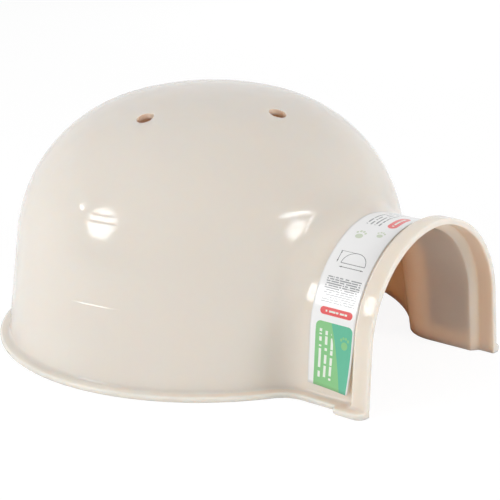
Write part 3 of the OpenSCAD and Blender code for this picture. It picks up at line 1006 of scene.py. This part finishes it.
def pale_floor():
    paint = bpy.data.materials.new("pale floor")
    paint.use_nodes = True
    tree = paint.node_tree
    tree.nodes.clear()
    matt = add(tree, "ShaderNodeBsdfDiffuse", {"Color": (0.92, 0.92, 0.92, 1.0)})
    glow = add(tree, "ShaderNodeEmission", {"Color": WHITE, "Strength": 1.06})
    x, y, _ = split(tree, tree.nodes.new("ShaderNodeTexCoord").outputs["Object"])
    open_floor = clamped((distance(x, y - axis_y * MM) - HOUSE_RADIUS) / HOUSE_FADE)
    seen = most(looked_at(tree, "Is Camera Ray") * 0.86,
                looked_at(tree, "Is Glossy Ray") * open_floor * 0.75)
    mixed(tree, seen, matt, glow, "ShaderNodeOutputMaterial")
    return paint


def studio_room():
    world = bpy.data.worlds.new("studio")
    world.use_nodes = True
    tree = world.node_tree
    tree.nodes.clear()
    white = add(tree, "ShaderNodeBackground", {"Color": WHITE, "Strength": 1.0})
    way = tree.nodes.new("ShaderNodeTexCoord").outputs["Generated"]
    front = add(tree, "ShaderNodeVectorMath", {0: way, 1: DIM_SIDE}, operation="DOT_PRODUCT")
    front = smooth(clamped((Term(tree, front.outputs["Value"]) + 0.3) / 0.7))
    strength = SIDE_LIGHT + front * (FRONT_LIGHT - SIDE_LIGHT)
    room = add(tree, "ShaderNodeBackground", {"Color": WHITE, "Strength": strength})
    mirrored = most(looked_at(tree, "Is Glossy Ray"), looked_at(tree, "Is Transmission Ray"))
    seen = most(looked_at(tree, "Is Camera Ray"), mirrored * (1.0 - front * 0.75))
    mixed(tree, seen, room, white, "ShaderNodeOutputWorld")
    return world


floor_mesh = bpy.data.meshes.new("floor")
corners = [(FLOOR_HALF * x, FLOOR_HALF * y, 0) for x, y in ((-1, -1), (1, -1), (1, 1), (-1, 1))]
floor_mesh.from_pydata(corners, [], [(0, 1, 2, 3)])
floor_mesh.materials.append(pale_floor())
floor = bpy.data.objects.new("floor", floor_mesh)
floor.location.z = -FLOOR_DROP
scene.collection.objects.link(floor)
scene.world = studio_room()
print("floor and room light", SIDE_LIGHT, FRONT_LIGHT)

# %% [markdown]
# Four lamps show in the gloss. A round one stands left and another right, whose edge a
# flag cuts off; they make the two bright spots on the dome. A small lamp and a long one
# stand beside them. The four others are plain fills: no mirrored ray sees them, and they
# light the colour alone. Turn and rise are compass degrees, seen from the dome.

# %% Lamps
def lamp(name, turn, rise, far, size, watts, roll=0.0, mirrored=True):
    """A soft lamp that faces a point inside the house."""
    light = bpy.data.lights.new(name, "AREA")
    light.shape, light.size, light.size_y, light.energy = "RECTANGLE", size[0], size[1], watts
    post = bpy.data.objects.new(name, light)
    scene.collection.objects.link(post)
    t, e = math.radians(turn), math.radians(rise)
    way = Vector((math.sin(t) * math.cos(e), -math.cos(t) * math.cos(e), math.sin(e)))
    post.location = AIM + way * far
    post.rotation_euler = way.to_track_quat("Z", "Y").to_euler()
    post.rotation_euler.rotate_axis("Z", math.radians(roll))
    post.visible_glossy = mirrored
    return light


def round_front(light, soft, flag):
    """Lets a lamp glow inside a soft-edged round; a flag is a straight edge's way and place."""
    light.use_nodes = True
    tree = light.node_tree
    tree.nodes.clear()
    on_lamp = split(tree, tree.nodes.new("ShaderNodeNewGeometry").outputs["Parametric"])
    across, upward = [(part - 0.5) * 2.0 for part in on_lamp[:2]]
    glow = smooth(clamped((1.0 - distance(across, upward)) / soft))
    if flag is not None:
        glow = glow * smooth(clamped((across * flag[0] + upward * flag[1] + flag[2]) / 0.1))
    shine = add(tree, "ShaderNodeEmission", {"Strength": glow})
    tree.links.new(shine.outputs[0], tree.nodes.new("ShaderNodeOutputLight").inputs["Surface"])


AIM, LAMP_FAR = Vector((0.0, 0.0, 0.08)), 1.3
MIRRORED_LAMPS = (  # name, turn, rise, size in metres, watts, roll, softness, flag
    ("left soft lamp", -119.3, 23.4, (0.47, 0.47), 6.5, 0.0, 0.2, None),
    ("far left lamp", -138.4, 24.4, (0.10, 0.08), 0.45, 0.0, 0.6, None),
    ("right soft lamp", 6.0, 20.6, (0.40, 0.40), 4.6, 0.0, 0.16, (-0.512, 0.859, 0.37)),
    ("high right lamp", 9.1, 32.3, (0.60, 0.07), 1.8, -14.0, 0.5, None))
FILLS = (  # name, turn, rise, distance, size, watts
    ("left fill", -101.0, 18.0, LAMP_FAR, 0.50, 4.6),
    ("right fill", 9.0, 20.0, LAMP_FAR, 0.40, 4.4),
    ("far side lamp", 118.0, 15.0, LAMP_FAR, 0.60, 1.5),
    ("overhead lamp", -50.0, 78.0, 1.6, 1.2, 3.2))
for name, turn, rise, size, watts, roll, soft, flag in MIRRORED_LAMPS:
    round_front(lamp(name, turn, rise, LAMP_FAR, size, watts, roll), soft, flag)
for name, turn, rise, far, size, watts in FILLS:
    lamp(name, turn, rise, far, (size, size), watts, mirrored=False)
scene.cycles.max_bounces = 16
scene.cycles.diffuse_bounces = 12
print("lamps", [thing.name for thing in scene.objects if thing.type == "LIGHT"])

# %% [markdown]
# ## The camera
# It looks at the house from the front left and a little above, through a long lens. The
# distance is about four times the object's length, so the shapes hardly converge.

# %% Camera
SENSOR, IMAGE_WIDTH, FOCAL_PIXELS = 36.0, 500.0, 1879.5


def camera_at(turn, rise, far, roll, slip, focal):
    """Stands at a distance from the dome's axis, slipped sideways and up in its own plane."""
    t, e, k = math.radians(turn), math.radians(rise), math.radians(roll)
    back = Vector((math.sin(t) * math.cos(e), -math.cos(t) * math.cos(e), math.sin(e)))
    side = Vector((math.cos(t), math.sin(t), 0.0))
    up = back.cross(side)
    spot_at = back * far + side * slip[0] + up * slip[1] + Vector((0.0, axis_y, 0.0))
    right_way = side * math.cos(k) + up * math.sin(k)
    up_way = up * math.cos(k) - side * math.sin(k)
    eye = bpy.data.cameras.new("camera")
    eye.sensor_fit, eye.sensor_width, eye.lens = "HORIZONTAL", SENSOR, focal
    eye.clip_start, eye.clip_end = 0.05, 50.0
    view = bpy.data.objects.new("camera", eye)
    scene.collection.objects.link(view)
    turned = Matrix((right_way, up_way, back)).transposed().to_4x4()
    view.matrix_world = Matrix.Translation(spot_at * MM) @ turned
    return view


scene.camera = camera_at(turn=-49.56, rise=17.80, far=1270.0, roll=-1.0, slip=(26.02, 48.68),
                         focal=SENSOR * FOCAL_PIXELS / IMAGE_WIDTH)
scene.view_settings.view_transform = "Standard"
print("camera lens", round(scene.camera.data.lens, 1), "mm")
